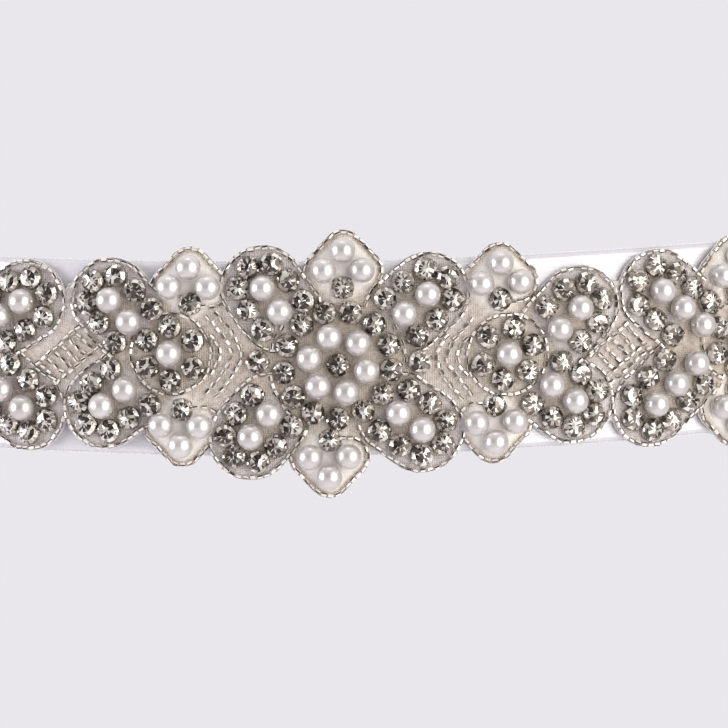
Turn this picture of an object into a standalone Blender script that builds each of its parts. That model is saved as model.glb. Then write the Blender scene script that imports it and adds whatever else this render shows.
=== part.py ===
# A beaded bridal sash, fastened round a waist: one satin ribbon, and one beaded
# applique sewn on the ribbon's front. Metres, +Z up, the front faces -Y.
# The origin is the middle of the waist opening, at the height of the ribbon's
# mid-line at the centre front.
#
# Places on the sash are given as on the flat cloth: "along" runs round the waist from
# the centre front, towards +X, and "up" runs from the ribbon's mid-line.

import math
from collections import namedtuple

import bmesh
import bpy
import numpy as np
from mathutils import Vector
from mathutils.geometry import delaunay_2d_cdt

MM = 0.001

# The waist opening: a rounded oval, as a general figure has at the waist.
WAIST_HALF_WIDTH = 128 * MM
WAIST_HALF_DEPTH = 92 * MM
WAIST_SQUARENESS = 2.3
WAIST_STEPS = 1440
TANGENT_STEP = 2 * MM
# The mid-line sits higher at the sides than at the front and back, and a little
# higher at +X than at -X.
SIDE_RISE = 6.65 * MM
CROSS_SLOPE = 0.0174

# The ribbon.
RIBBON_WIDTH = 44.5 * MM
RIBBON_WALL = 1.0 * MM
RIBBON_LAP = 60 * MM
LAP_EASE = 30 * MM
RIBBON_PITCH = 6 * MM
SEAM_GAP = 0.3 * MM

# The applique's backing and what is raised on it.
BACKING_WALL = 1.2 * MM
PEARL_RADIUS = 3.0 * MM
STONE_RADIUS = 2.5 * MM
STONE_HEIGHT = 2.6 * MM
STONE_TABLE = 0.62
BEAD_CLEARANCE = 0.1 * MM
OUTLINE_PITCH = 1.9 * MM
OUTLINE_FINEST = 0.5 * MM
SLOPE_STEP = 0.1 * MM

# The rows that make up each motif.
ROW_PITCH = 5.7 * MM
LEAF_PEARL_PITCH = 6.7 * MM
LEAF_ROW_RADIUS = 5.8 * MM
LEAF_EDGE_RADIUS = 9.8 * MM
LEAF_END_EASE = 0.2 * MM
FLOWER_EDGE = 4.0 * MM
TRIO_EDGE_RADIUS = 4.9 * MM
TRIO_SPREAD = 4.4 * MM
TRIO_RISE = 3.8 * MM
TRIO_TIP = 4.6 * MM

# A raised pearl's rings above its foot, as shares of its radius: out from its axis, and
# height above the backing.
PEARL_RINGS = ((1.0, 1.05), (0.66, 1.72))
PEARL_SIDES = 8
PEARL_TURN = 0
# A raised stone is a blunt cone in its cup.
STONE_RINGS = ((STONE_TABLE, STONE_HEIGHT / STONE_RADIUS),)
STONE_SIDES = 6
STONE_TURN = 30

BeadForm = namedtuple("BeadForm", "radius sides turn rings")
BEAD_FORMS = {
    "pearl": BeadForm(PEARL_RADIUS, PEARL_SIDES, PEARL_TURN, PEARL_RINGS),
    "stone": BeadForm(STONE_RADIUS, STONE_SIDES, STONE_TURN, STONE_RINGS),
}

# Flowers: a middle bead, then rings of pearls and of stones round it. Ring radii are in
# mm, and "turn" is where each ring starts, in degrees from +X.
Flower = namedtuple(
    "Flower",
    "along up middle pearls pearl_ring pearl_turn stones stone_ring stone_turn",
)
FLOWERS = (
    Flower(0.0, -1.5, "stone", 6, 6.7, 47, 13, 12.4, 21),
    Flower(38.9, -0.5, "pearl", 0, 0.0, 0, 6, 6.1, 18),
    Flower(-38.4, 1.0, "pearl", 0, 0.0, 0, 6, 6.1, 30),
    Flower(96.0, -1.2, "pearl", 0, 0.0, 0, 6, 6.1, 25),
    Flower(-96.0, 0.0, "pearl", 0, 0.0, 0, 6, 6.1, 35),
)

# Leaves: pearls in a line along the leaf, stones in a row round its end and sides.
# "turn" is the way the leaf points, in degrees from +X, in the plane of the cloth.
# "shift" moves the row of stones along itself, in mm.
Leaf = namedtuple("Leaf", "along up turn pearls stones shift")
LEAVES = (
    Leaf(17.8, 12.0, 40, 2, 7, 0.0),
    Leaf(-15.2, 13.6, 126, 2, 7, 0.0),
    Leaf(-17.8, -15.4, 231, 2, 7, 0.0),
    Leaf(16.5, -15.0, -36, 2, 7, 0.0),
    Leaf(53.0, 6.9, 44, 2, 6, 0.0),
    Leaf(51.5, -10.2, -36, 2, 7, 0.0),
    Leaf(-50.0, 10.6, 133, 2, 7, 0.0),
    Leaf(-51.3, -9.5, 216, 2, 7, 1.3),
    Leaf(80.3, 7.6, 140, 3, 8, -1.5),
    Leaf(78.7, -10.0, 221, 3, 8, 1.7),
    Leaf(-79.0, 8.6, 32, 3, 8, 1.5),
    Leaf(-78.5, -8.6, -37, 3, 8, -1.7),
    Leaf(111.4, -1.2, 0, 2, 7, 0.0),
    Leaf(-111.4, 0.0, 180, 2, 7, 0.0),
)

# Trios: a stone, a pair of pearls beyond it and one more at the tip.
Trio = namedtuple("Trio", "along up way")
TRIOS = (
    Trio(1.1, 16.4, 1),
    Trio(-1.9, -18.9, -1),
    Trio(37.0, 12.3, 1),
    Trio(35.8, -12.2, -1),
    Trio(-34.0, 12.6, 1),
    Trio(-35.8, -11.8, -1),
    Trio(95.0, 10.6, 1),
    Trio(95.2, -12.5, -1),
    Trio(-95.0, 11.6, 1),
    Trio(-95.2, -11.4, -1),
)

# Single stones between the motifs.
Stone = namedtuple("Stone", "along up")
STONES = (
    Stone(18.7, -1.2),
    Stone(-18.4, -0.6),
)

# Necks of plain net between the groups of motifs.
Neck = namedtuple("Neck", "along top bottom")
NECKS = (
    Neck(63.4, 15.5, -17.5),
    Neck(-60.8, 17.0, -17.0),
)
NECK_RADIUS = 3.0 * MM


def clear_scene():
    for thing in list(bpy.data.objects):
        bpy.data.objects.remove(thing, do_unlink=True)


def cloth_material(name, colour, roughness, metallic=0.0):
    material = bpy.data.materials.new(name)
    material.use_nodes = True
    shader = material.node_tree.nodes["Principled BSDF"]
    shader.inputs["Base Color"].default_value = (*colour, 1.0)
    shader.inputs["Roughness"].default_value = roughness
    shader.inputs["Metallic"].default_value = metallic
    return material


def waist_table():
    # Points round the oval, counter-clockwise from above, starting at the centre front,
    # with the length run from the start at each.
    angle = np.linspace(0, 2 * math.pi, WAIST_STEPS + 1)
    across = np.abs(np.sin(angle) / WAIST_HALF_WIDTH) ** WAIST_SQUARENESS
    deep = np.abs(np.cos(angle) / WAIST_HALF_DEPTH) ** WAIST_SQUARENESS
    radius = (across + deep) ** (-1 / WAIST_SQUARENESS)
    points = np.stack([radius * np.sin(angle), -radius * np.cos(angle)], axis=1)
    steps = np.hypot(*np.diff(points, axis=0).T)
    run = np.concatenate([[0.0], np.cumsum(steps)])
    return run, points


WAIST_RUN, WAIST_POINTS = waist_table()
WAIST_LENGTH = float(WAIST_RUN[-1])


def waist_point(along):
    here = along % WAIST_LENGTH
    return np.array([np.interp(here, WAIST_RUN, WAIST_POINTS[:, axis]) for axis in (0, 1)])


def on_waist(along, up, out):
    # The point of the cloth at these flat places, moved out from the waist opening.
    half_step = TANGENT_STEP / 2
    middle = waist_point(along)
    tangent = waist_point(along + half_step) - waist_point(along - half_step)
    tangent /= np.hypot(*tangent)
    outward = np.array([tangent[1], -tangent[0]])
    x, y = middle + outward * out
    lift = SIDE_RISE * math.sin(2 * math.pi * along / WAIST_LENGTH) ** 2
    return Vector((x, y, up + lift + CROSS_SLOPE * x))


def lap_lift(along):
    # How far the outer end of the ribbon has left the waist, to lie over the inner end.
    ease = (along - (WAIST_LENGTH / 2 - RIBBON_LAP / 2 - LAP_EASE)) / LAP_EASE
    ease = min(1.0, max(0.0, ease))
    return (RIBBON_WALL + SEAM_GAP) * ease * ease * (3 - 2 * ease)


def make_object(name, mesh_builder, material):
    mesh = bpy.data.meshes.new(name)
    mesh_builder.normal_update()
    mesh_builder.to_mesh(mesh)
    mesh_builder.free()
    mesh.materials.append(material)
    made = bpy.data.objects.new(name, mesh)
    bpy.context.scene.collection.objects.link(made)
    return made


def build_ribbon():
    # One strip round the waist, with its two ends lapped at the centre back.
    mesh_builder = bmesh.new()
    length = WAIST_LENGTH + RIBBON_LAP
    columns = math.ceil(length / RIBBON_PITCH)
    sections = []
    for index in range(columns + 1):
        along = length * (index / columns - 0.5)
        lift = lap_lift(along)
        corners = (
            (RIBBON_WIDTH / 2, lift),
            (-RIBBON_WIDTH / 2, lift),
            (-RIBBON_WIDTH / 2, lift + RIBBON_WALL),
            (RIBBON_WIDTH / 2, lift + RIBBON_WALL),
        )
        sections.append([mesh_builder.verts.new(on_waist(along, *corner)) for corner in corners])
    for near, far in zip(sections, sections[1:]):
        for side in range(4):
            after = (side + 1) % 4
            mesh_builder.faces.new((near[side], far[side], far[after], near[after]))
    mesh_builder.faces.new(sections[0])
    mesh_builder.faces.new(reversed(sections[-1]))
    satin = cloth_material("white_satin", (0.86, 0.85, 0.87), 0.35)
    return make_object("ribbon", mesh_builder, satin)


def turned(turn, along, up):
    # A place in a motif, turned with the motif.
    cos, sin = math.cos(math.radians(turn)), math.sin(math.radians(turn))
    return along * cos - up * sin, along * sin + up * cos


def leaf_row(leaf):
    # Places along the row of stones: round the leaf's end, then down both sides.
    end = (leaf.pearls - 1) / 2 * LEAF_PEARL_PITCH + LEAF_END_EASE
    quarter = LEAF_ROW_RADIUS * math.pi / 2
    for index in range(leaf.stones):
        run = (index - (leaf.stones - 1) / 2) * ROW_PITCH + leaf.shift * MM
        if abs(run) < quarter:
            swing = run / LEAF_ROW_RADIUS
            yield end + LEAF_ROW_RADIUS * math.cos(swing), LEAF_ROW_RADIUS * math.sin(swing)
        else:
            yield end - (abs(run) - quarter), math.copysign(LEAF_ROW_RADIUS, run)


def motif_places():
    # The flat place and kind of each pearl and stone, flowers first.
    for flower in FLOWERS:
        along, up = flower.along * MM, flower.up * MM
        yield flower.middle, along, up
        rings = (
            ("pearl", flower.pearls, flower.pearl_ring, flower.pearl_turn),
            ("stone", flower.stones, flower.stone_ring, flower.stone_turn),
        )
        for kind, count, radius, turn in rings:
            for index in range(count):
                dx, dz = turned(turn + 360 * index / count, radius * MM, 0)
                yield kind, along + dx, up + dz
    for trio in TRIOS:
        along, up = trio.along * MM, trio.up * MM
        yield "stone", along, up
        for side in (-1, 1):
            yield "pearl", along + side * TRIO_SPREAD, up + trio.way * TRIO_RISE
        yield "pearl", along, up + trio.way * (TRIO_RISE + TRIO_TIP)
    for leaf in LEAVES:
        for index in range(leaf.pearls):
            step = (index - (leaf.pearls - 1) / 2) * LEAF_PEARL_PITCH
            dx, dz = turned(leaf.turn, step, 0)
            yield "pearl", leaf.along * MM + dx, leaf.up * MM + dz
    for stone in STONES:
        yield "stone", stone.along * MM, stone.up * MM
    for leaf in LEAVES:
        for place in leaf_row(leaf):
            dx, dz = turned(leaf.turn, *place)
            yield "stone", leaf.along * MM + dx, leaf.up * MM + dz


def sewn_beads():
    # All pearls and stones, leaving out one that would sit on one already sewn.
    sewn = []
    for kind, along, up in motif_places():
        clear = all(
            math.hypot(along - other[1], up - other[2])
            > BEAD_FORMS[kind].radius + BEAD_FORMS[other[0]].radius + BEAD_CLEARANCE
            for other in sewn
        )
        if clear:
            sewn.append((kind, along, up))
    return sewn


def edge_shapes():
    # The backing is cut round capsules: two ends and a radius each.
    shapes = []
    for flower in FLOWERS:
        here = (flower.along * MM, flower.up * MM)
        shapes.append((here, here, flower.stone_ring * MM + FLOWER_EDGE))
    for trio in TRIOS:
        along, up = trio.along * MM, trio.up * MM
        tip = (along, up + trio.way * (TRIO_RISE + TRIO_TIP))
        for side in (-1, 1):
            pair = (along + side * TRIO_SPREAD, up + trio.way * TRIO_RISE)
            shapes.append((pair, tip, TRIO_EDGE_RADIUS))
    for leaf in LEAVES:
        reach = (leaf.pearls - 1) / 2 * LEAF_PEARL_PITCH
        ends = []
        for step in (-reach, reach + LEAF_END_EASE):
            dx, dz = turned(leaf.turn, step, 0)
            ends.append((leaf.along * MM + dx, leaf.up * MM + dz))
        shapes.append((ends[0], ends[1], LEAF_EDGE_RADIUS))
    for neck in NECKS:
        high = (neck.along * MM, neck.top * MM - NECK_RADIUS)
        low = (neck.along * MM, neck.bottom * MM + NECK_RADIUS)
        shapes.append((high, low, NECK_RADIUS))
    return shapes


def capsule_top(shape, along, way):
    # The highest (way 1) or lowest (way -1) point of a capsule at this place along.
    (ax, az), (bx, bz), radius = shape
    found = []
    for x, z in ((ax, az), (bx, bz)):
        if abs(along - x) <= radius:
            found.append(way * z + math.sqrt(radius * radius - (along - x) ** 2))
    span = math.hypot(bx - ax, bz - az)
    if span > 0 and abs(bx - ax) > 0:
        # The straight side between the two rounds.
        nx, nz = (az - bz) / span, (bx - ax) / span
        if nz * way < 0:
            nx, nz = -nx, -nz
        start, end = ax + radius * nx, bx + radius * nx
        if min(start, end) <= along <= max(start, end):
            share = (along - start) / (end - start)
            z = az + radius * nz + share * (bz - az)
            found.append(way * z)
    return max(found) if found else None


def edge_at(shapes, along, way):
    tops = [capsule_top(shape, along, way) for shape in shapes]
    tops = [top for top in tops if top is not None]
    return way * max(tops) if tops else None


def outline_columns(shapes):
    # Places along where the outline has points, closer where its edges are steep.
    right = max(max(shape[0][0], shape[1][0]) + shape[2] for shape in shapes)
    left = min(min(shape[0][0], shape[1][0]) - shape[2] for shape in shapes)
    columns = []
    along = left + OUTLINE_FINEST
    while along < right - OUTLINE_FINEST / 2:
        columns.append((along, edge_at(shapes, along, 1), edge_at(shapes, along, -1)))
        slopes = [
            abs(edge_at(shapes, along + SLOPE_STEP, way) - edge_at(shapes, along, way)) / SLOPE_STEP
            for way in (1, -1)
        ]
        along += max(OUTLINE_FINEST, OUTLINE_PITCH / math.hypot(1, max(slopes)))
    return left, right, columns


def ring_points(along, up, radius, sides, turn):
    for index in range(sides):
        dx, dz = turned(turn + 360 * index / sides, radius, 0)
        yield along + dx, up + dz


def raise_bead(mesh_builder, base, kind, along, up, floor):
    # Builds the dome of a pearl or the blunt cone of a stone on its base ring.
    radius, sides, turn, rings = BEAD_FORMS[kind]
    below = base
    for out, height in rings:
        above = [
            mesh_builder.verts.new(on_waist(x, z, floor + height * radius))
            for x, z in ring_points(along, up, out * radius, sides, turn)
        ]
        for index in range(sides):
            after = (index + 1) % sides
            mesh_builder.faces.new((below[index], below[after], above[after], above[index]))
        below = above
    if kind == "pearl":
        tip = mesh_builder.verts.new(on_waist(along, up, floor + 2 * radius))
        for index in range(sides):
            mesh_builder.faces.new((below[index], below[(index + 1) % sides], tip))
    else:
        mesh_builder.faces.new(below)


def build_applique():
    mesh_builder = bmesh.new()
    inside = RIBBON_WALL + SEAM_GAP
    floor = inside + BACKING_WALL
    shapes = edge_shapes()
    left, right, columns = outline_columns(shapes)
    left_up = columns[0][1] / 2 + columns[0][2] / 2
    right_up = columns[-1][1] / 2 + columns[-1][2] / 2

    # The plain inside: one strip of flat faces between the upper and lower edges.
    inner_low = [mesh_builder.verts.new(on_waist(x, low, inside)) for x, _, low in columns]
    inner_high = [mesh_builder.verts.new(on_waist(x, high, inside)) for x, high, _ in columns]
    inner_left = mesh_builder.verts.new(on_waist(left, left_up, inside))
    inner_right = mesh_builder.verts.new(on_waist(right, right_up, inside))
    for index in range(len(columns) - 1):
        mesh_builder.faces.new(
            (inner_low[index], inner_high[index], inner_high[index + 1], inner_low[index + 1])
        )
    mesh_builder.faces.new((inner_left, inner_high[0], inner_low[0]))
    mesh_builder.faces.new((inner_right, inner_low[-1], inner_high[-1]))

    # The outside: the outline and the foot of each bead, triangulated together.
    flat = [(x, low) for x, _, low in columns]
    flat.append((right, right_up))
    flat.extend((x, high) for x, high, _ in reversed(columns))
    flat.append((left, left_up))
    rim_count = len(flat)
    beads = sewn_beads()
    feet = []
    for kind, along, up in beads:
        form = BEAD_FORMS[kind]
        start = len(flat)
        flat.extend(ring_points(along, up, form.radius, form.sides, form.turn))
        feet.append(list(range(start, start + form.sides)))
    loops = [list(range(rim_count))] + feet
    scaled = [Vector((x / MM, z / MM)) for x, z in flat]
    found, _, triangles, sources, _, covers = delaunay_2d_cdt(scaled, [], loops, 1, 1e-6, True)
    if len(found) != len(flat):
        raise RuntimeError("a bead's foot crosses another or the outline")
    outer = [mesh_builder.verts.new(on_waist(x, z, floor)) for x, z in flat]
    for triangle, covered in zip(triangles, covers):
        # Kept inside the outline (loop 0) and outside every bead's foot.
        if set(covered) != {0}:
            continue
        points = [sources[corner][0] for corner in triangle]
        a, b, c = (scaled[point] for point in points)
        if (b - a).cross(c - a) < 0:
            points.reverse()
        mesh_builder.faces.new([outer[point] for point in points])
    for (kind, along, up), foot in zip(beads, feet):
        raise_bead(mesh_builder, [outer[point] for point in foot], kind, along, up, floor)

    # The cut edge, from the inside's rim to the outside's.
    inner_rim = inner_low + [inner_right] + inner_high[::-1] + [inner_left]
    for index in range(rim_count):
        after = (index + 1) % rim_count
        mesh_builder.faces.new(
            (inner_rim[index], inner_rim[after], outer[after], outer[index])
        )
    beaded = cloth_material("beaded_net", (0.62, 0.58, 0.54), 0.4)
    return make_object("applique", mesh_builder, beaded)


clear_scene()
build_ribbon()
build_applique()
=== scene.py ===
# Looks of a beaded bridal sash: a satin ribbon worn in a loop, with a pearl and rhinestone trim on its front.
# Places on the sash are flat ones, in metres: along runs round the waist from the centre front towards +X,
# up runs from the ribbon's mid-line, and out is how far a point stands off the waist.
import math

import bmesh
import bpy
import numpy as np
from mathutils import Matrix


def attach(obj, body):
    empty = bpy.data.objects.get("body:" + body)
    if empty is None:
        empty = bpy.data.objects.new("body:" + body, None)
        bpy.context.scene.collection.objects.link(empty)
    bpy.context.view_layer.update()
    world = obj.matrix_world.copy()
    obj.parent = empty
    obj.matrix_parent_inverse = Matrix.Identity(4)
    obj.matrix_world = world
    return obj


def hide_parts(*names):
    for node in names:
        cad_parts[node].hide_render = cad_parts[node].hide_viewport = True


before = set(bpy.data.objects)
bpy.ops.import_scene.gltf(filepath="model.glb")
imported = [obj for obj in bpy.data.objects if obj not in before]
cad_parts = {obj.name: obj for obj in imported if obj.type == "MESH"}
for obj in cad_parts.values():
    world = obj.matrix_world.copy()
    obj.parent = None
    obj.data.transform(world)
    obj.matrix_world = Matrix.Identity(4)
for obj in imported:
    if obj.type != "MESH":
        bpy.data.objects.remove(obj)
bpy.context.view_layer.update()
mm = 0.001

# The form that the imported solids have
waist = {
    "halfWidth": 128 * mm,
    "halfDepth": 92 * mm,
    "squareness": 2.3,
    "steps": 1440,
    "tangentStep": 2 * mm,
    "sideRise": 6.65 * mm,  # how much higher the mid-line runs at the sides
    "crossSlope": 0.0174,  # and how much it climbs towards +X
}
layers = {
    "ribbonWall": 1.0 * mm,
    "seamGap": 0.3 * mm,
    "backingWall": 1.2 * mm,
}
layers["backingInside"] = layers["ribbonWall"] + layers["seamGap"]
layers["floor"] = layers["backingInside"] + layers["backingWall"]  # where the beads stand

# Beads and motifs of the trim, in mm and degrees, as they are laid out in the solids
motif = {
    "pearlRadius": 3.0,
    "stoneRadius": 2.5,
    "beadClearance": 0.1,
    "rowPitch": 5.7,
    "leafPearlPitch": 6.7,
    "leafRowRadius": 5.8,
    "leafEdgeRadius": 9.8,
    "leafEndEase": 0.2,
    "flowerEdge": 4.0,
    "trioEdgeRadius": 4.9,
    "trioSpread": 4.4,
    "trioRise": 3.8,
    "trioTip": 4.6,
    "neckRadius": 3.0,
}
flowerColumns = ("along", "up", "middle", "pearls", "pearlRing", "pearlTurn", "stones", "stoneRing", "stoneTurn")
flowerTable = (
    (0.0, -1.5, "stone", 6, 6.7, 47, 13, 12.4, 21),
    (38.9, -0.5, "pearl", 0, 0.0, 0, 6, 6.1, 18),
    (-38.4, 1.0, "pearl", 0, 0.0, 0, 6, 6.1, 30),
    (96.0, -1.2, "pearl", 0, 0.0, 0, 6, 6.1, 25),
    (-96.0, 0.0, "pearl", 0, 0.0, 0, 6, 6.1, 35),
)
leafColumns = ("along", "up", "turn", "pearls", "stones", "shift")
leafTable = (
    (17.8, 12.0, 40, 2, 7, 0.0),
    (-15.2, 13.6, 126, 2, 7, 0.0),
    (-17.8, -15.4, 231, 2, 7, 0.0),
    (16.5, -15.0, -36, 2, 7, 0.0),
    (53.0, 6.9, 44, 2, 6, 0.0),
    (51.5, -10.2, -36, 2, 7, 0.0),
    (-50.0, 10.6, 133, 2, 7, 0.0),
    (-51.3, -9.5, 216, 2, 7, 1.3),
    (80.3, 7.6, 140, 3, 8, -1.5),
    (78.7, -10.0, 221, 3, 8, 1.7),
    (-79.0, 8.6, 32, 3, 8, 1.5),
    (-78.5, -8.6, -37, 3, 8, -1.7),
    (111.4, -1.2, 0, 2, 7, 0.0),
    (-111.4, 0.0, 180, 2, 7, 0.0),
)
trioColumns = ("along", "up", "way")
trioTable = (
    (1.1, 16.4, 1),
    (-1.9, -18.9, -1),
    (37.0, 12.3, 1),
    (35.8, -12.2, -1),
    (-34.0, 12.6, 1),
    (-35.8, -11.8, -1),
    (95.0, 10.6, 1),
    (95.2, -12.5, -1),
    (-95.0, 11.6, 1),
    (-95.2, -11.4, -1),
)
singleStones = ((18.7, -1.2), (-18.4, -0.6))
neckColumns = ("along", "top", "bottom")
neckTable = ((63.4, 15.5, -17.5), (-60.8, 17.0, -17.0))


def named(columns, table):
    return [dict(zip(columns, row)) for row in table]


flowers = named(flowerColumns, flowerTable)
leaves = named(leafColumns, leafTable)
trios = named(trioColumns, trioTable)
necks = named(neckColumns, neckTable)


def waistTable():
    angle = np.linspace(0, 2 * math.pi, waist["steps"] + 1)
    across = np.abs(np.sin(angle) / waist["halfWidth"]) ** waist["squareness"]
    deep = np.abs(np.cos(angle) / waist["halfDepth"]) ** waist["squareness"]
    radius = (across + deep) ** (-1 / waist["squareness"])
    points = np.stack([radius * np.sin(angle), -radius * np.cos(angle)], axis=1)
    steps = np.hypot(*np.diff(points, axis=0).T)
    return np.concatenate([[0.0], np.cumsum(steps)]), points


waistRun, waistPoints = waistTable()
waistLength = float(waistRun[-1])


def waistAt(along):
    here = np.asarray(along, float) % waistLength
    return np.stack([np.interp(here, waistRun, waistPoints[:, axis]) for axis in (0, 1)], axis=-1)


def clothDirections(along):
    half = waist["tangentStep"] / 2
    run = waistAt(np.asarray(along) + half) - waistAt(np.asarray(along) - half)
    run /= np.linalg.norm(run, axis=-1, keepdims=True)
    zero = np.zeros(run.shape[:-1])
    tangent = np.stack([run[..., 0], run[..., 1], zero], axis=-1)
    outward = np.stack([run[..., 1], -run[..., 0], zero], axis=-1)
    return tangent, outward


def onWaist(along, up, out):
    along, up, out = np.broadcast_arrays(along, up, out)
    outward = clothDirections(along)[1]
    flat = waistAt(along) + outward[..., :2] * out[..., None]
    lift = waist["sideRise"] * np.sin(2 * math.pi * along / waistLength) ** 2
    height = up + lift + waist["crossSlope"] * flat[..., 0]
    return np.concatenate([flat, height[..., None]], axis=-1)


def turned(turn, along, up):
    cos, sin = math.cos(math.radians(turn)), math.sin(math.radians(turn))
    return along * cos - up * sin, along * sin + up * cos


def linearColour(hexColour):
    shares = [int(hexColour[i:i + 2], 16) / 255 for i in (1, 3, 5)]
    return [s / 12.92 if s <= 0.04045 else ((s + 0.055) / 1.055) ** 2.4 for s in shares] + [1.0]


def socketOf(sockets, key):
    if isinstance(key, int):
        return sockets[key]
    return next(socket for socket in sockets if socket.name == key and socket.enabled)


def addNode(tree, kind, settings=None, links=None, **values):
    node = tree.nodes.new(kind)
    for key, value in (settings or {}).items():
        setattr(node, key, value)
    for key, value in values.items():
        socketOf(node.inputs, key).default_value = value
    for key, value in (links or {}).items():
        tree.links.new(value, socketOf(node.inputs, key))
    return node


def newMaterial(name, **values):
    material = bpy.data.materials.new(name)
    material.use_nodes = True
    shader = material.node_tree.nodes["Principled BSDF"]
    for key, value in values.items():
        shader.inputs[key.replace("_", " ")].default_value = value
    return material, material.node_tree, shader


def toneRamp(tree, factor, stops):
    ramp = addNode(tree, "ShaderNodeValToRGB", links={"Fac": factor})
    while len(ramp.color_ramp.elements) < len(stops):
        ramp.color_ramp.elements.new(0.5)
    for element, (place, colour) in zip(ramp.color_ramp.elements, stops):
        element.position = place
        element.color = linearColour(colour)
    return ramp.outputs["Color"]


# Finishes

satinLook = {
    "colour": "#E3E2E6",
    "shade": "#DBDAE0",
    "twillScale": 700,  # a twill line each 0.63 mm; the real 0.3 mm is too fine for the render
    "ribScale": 420,
    "roughness": 0.33,
    "gloss": 0.24,  # the floats throw light back like a soft mirror
}


def satinMaterial():
    # Double-faced polyester satin: long floats on a fine twill, so it gives a broad soft sheen along the ribbon.
    material, tree, shader = newMaterial(
        "wovenPolyesterSatin", Metallic=satinLook["gloss"], Roughness=satinLook["roughness"], IOR=1.6,
        Sheen_Weight=0.15, Sheen_Roughness=0.4, Anisotropic=0.35,
    )
    place = addNode(tree, "ShaderNodeUVMap", {"uv_map": "cloth"}).outputs["UV"]
    cloud = addNode(tree, "ShaderNodeTexNoise", links={"Vector": place}, Scale=900.0, Detail=3.0)
    colour = toneRamp(tree, cloud.outputs["Fac"], ((0.3, satinLook["shade"]), (0.7, satinLook["colour"])))
    tree.links.new(colour, shader.inputs["Base Color"])
    twill = addNode(
        tree, "ShaderNodeTexWave", {"bands_direction": "DIAGONAL"}, {"Vector": place},
        Scale=satinLook["twillScale"], Distortion=0.6,
    )
    ribs = addNode(
        tree, "ShaderNodeTexWave", {"bands_direction": "Y"}, {"Vector": place}, Scale=satinLook["ribScale"],
        Distortion=0.3,
    )
    weave = addNode(
        tree, "ShaderNodeMath", {"operation": "ADD"}, {0: twill.outputs["Fac"], 1: ribs.outputs["Fac"]},
    )
    bump = addNode(tree, "ShaderNodeBump", links={"Height": weave.outputs[0]}, Strength=0.10, Distance=0.00012)
    tree.links.new(bump.outputs["Normal"], shader.inputs["Normal"])
    return material


backingLook = {
    "warm": "#DDD3C8",  # between the stones
    "net": "#DCD4CC",  # under the arcs and lattices
    "ivory": "#FDFAF5",  # padded cells of the pearl trios
    "lavender": "#E6E2E5",  # the leaf ends
    "weaveScale": 600,  # net threads 0.5 mm apart
}


def backingMaterial():
    # Nylon net over thin felt: matt, a little fuzzy, its tint changing with what is sewn through it.
    material, tree, shader = newMaterial("netOverFelt", IOR=1.5, Sheen_Weight=0.2)
    place = addNode(tree, "ShaderNodeUVMap", {"uv_map": "cloth"}).outputs["UV"]
    tint = addNode(tree, "ShaderNodeAttribute", {"attribute_name": "tint"}).outputs["Color"]
    cloud = addNode(tree, "ShaderNodeTexNoise", links={"Vector": place}, Scale=700.0, Detail=3.0, Roughness=0.7)
    shade = toneRamp(tree, cloud.outputs["Fac"], ((0.36, "#B9AFA4"), (0.52, "#EDE8E2"), (0.68, "#FFFFFF")))
    padded = addNode(tree, "ShaderNodeAttribute", {"attribute_name": "padded"}).outputs["Fac"]
    mottle = addNode(tree, "ShaderNodeMapRange", links={"Value": padded})
    mottle.inputs["To Min"].default_value = 0.6
    mottle.inputs["To Max"].default_value = 0.12
    colour = addNode(
        tree, "ShaderNodeMix", {"data_type": "RGBA", "blend_type": "MULTIPLY"}, {"Factor": mottle.outputs["Result"]},
    )
    tree.links.new(tint, socketOf(colour.inputs, "A"))
    tree.links.new(shade, socketOf(colour.inputs, "B"))
    tree.links.new(socketOf(colour.outputs, "Result"), shader.inputs["Base Color"])
    warp = addNode(
        tree, "ShaderNodeTexWave", {"bands_direction": "X"}, {"Vector": place}, Scale=backingLook["weaveScale"],
        Distortion=1.2,
    )
    weft = addNode(
        tree, "ShaderNodeTexWave", {"bands_direction": "Y"}, {"Vector": place}, Scale=backingLook["weaveScale"],
        Distortion=1.2,
    )
    weave = addNode(tree, "ShaderNodeMath", {"operation": "ADD"}, {0: warp.outputs["Fac"], 1: weft.outputs["Fac"]})
    strength = addNode(tree, "ShaderNodeMapRange", links={"Value": padded})
    strength.inputs["To Min"].default_value = 0.45
    strength.inputs["To Max"].default_value = 0.06
    roughness = addNode(tree, "ShaderNodeMapRange", links={"Value": padded})
    roughness.inputs["To Min"].default_value = 0.62
    roughness.inputs["To Max"].default_value = 0.30
    tree.links.new(roughness.outputs["Result"], shader.inputs["Roughness"])
    bump = addNode(
        tree, "ShaderNodeBump", links={"Height": weave.outputs[0], "Strength": strength.outputs["Result"]},
        Distance=0.0003,
    )
    tree.links.new(bump.outputs["Normal"], shader.inputs["Normal"])
    return material


def pearlMaterial():
    # Glass-core imitation pearl in lacquered coats: ivory, with soft-edged reflections under a clear one.
    material, tree, shader = newMaterial(
        "lacqueredIvoryPearl", Metallic=0.58, Roughness=0.28, IOR=1.6, Coat_Weight=0.6, Coat_Roughness=0.17,
        Coat_IOR=1.5, Sheen_Weight=0.5, Sheen_Roughness=0.35,
    )
    place = addNode(tree, "ShaderNodeTexCoord").outputs["Object"]
    cloud = addNode(tree, "ShaderNodeTexNoise", links={"Vector": place}, Scale=140.0, Detail=2.0)
    colour = toneRamp(tree, cloud.outputs["Fac"], ((0.35, "#D0CBC8"), (0.65, "#DCD8D5")))
    tree.links.new(colour, shader.inputs["Base Color"])
    fine = addNode(tree, "ShaderNodeTexNoise", links={"Vector": place}, Scale=1800.0, Detail=2.0)
    bump = addNode(tree, "ShaderNodeBump", links={"Height": fine.outputs["Fac"]}, Strength=0.05, Distance=0.0001)
    tree.links.new(bump.outputs["Normal"], shader.inputs["Normal"])
    return material


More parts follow.
